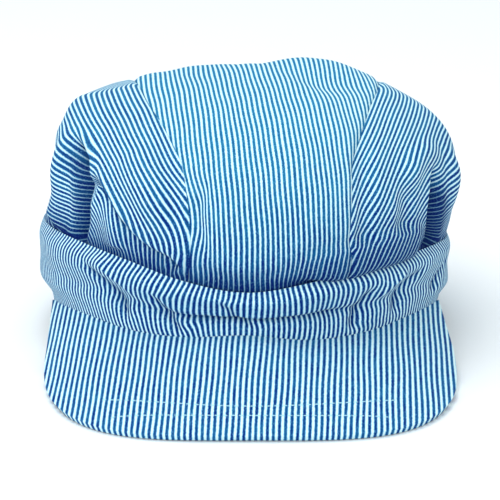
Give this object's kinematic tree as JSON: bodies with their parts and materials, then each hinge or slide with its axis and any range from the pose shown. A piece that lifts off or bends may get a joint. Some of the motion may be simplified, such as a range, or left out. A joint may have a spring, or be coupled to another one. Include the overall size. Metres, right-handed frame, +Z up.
{
  "type": "railroad engineer cap",
  "caption": "Soft railroad engineer cap in blue and white hickory stripe cotton, with a full gathered crown, a tall crumpled band and a broad stitched bill.",
  "frame": {"origin": "on the floor under the middle of the whole cap", "axes": "+Z up, -Y the way the bill points, +X to the right seen from the front of the cap"},
  "size_m": [0.1994, 0.2518, 0.1228],
  "materials": {
    "crown_cloth": "striped cotton twill, matte",
    "side_cloth": "striped cotton twill, matte",
    "band_cloth": "striped cotton twill, matte",
    "bill_cloth": "striped cotton twill, matte"
  },
  "bodies": {
    "root": {"crown_centre": "crown_cloth", "crown_side_left": "side_cloth", "crown_side_right": "side_cloth", "band": "band_cloth", "bill": "bill_cloth"}
  },
  "joints": []
}
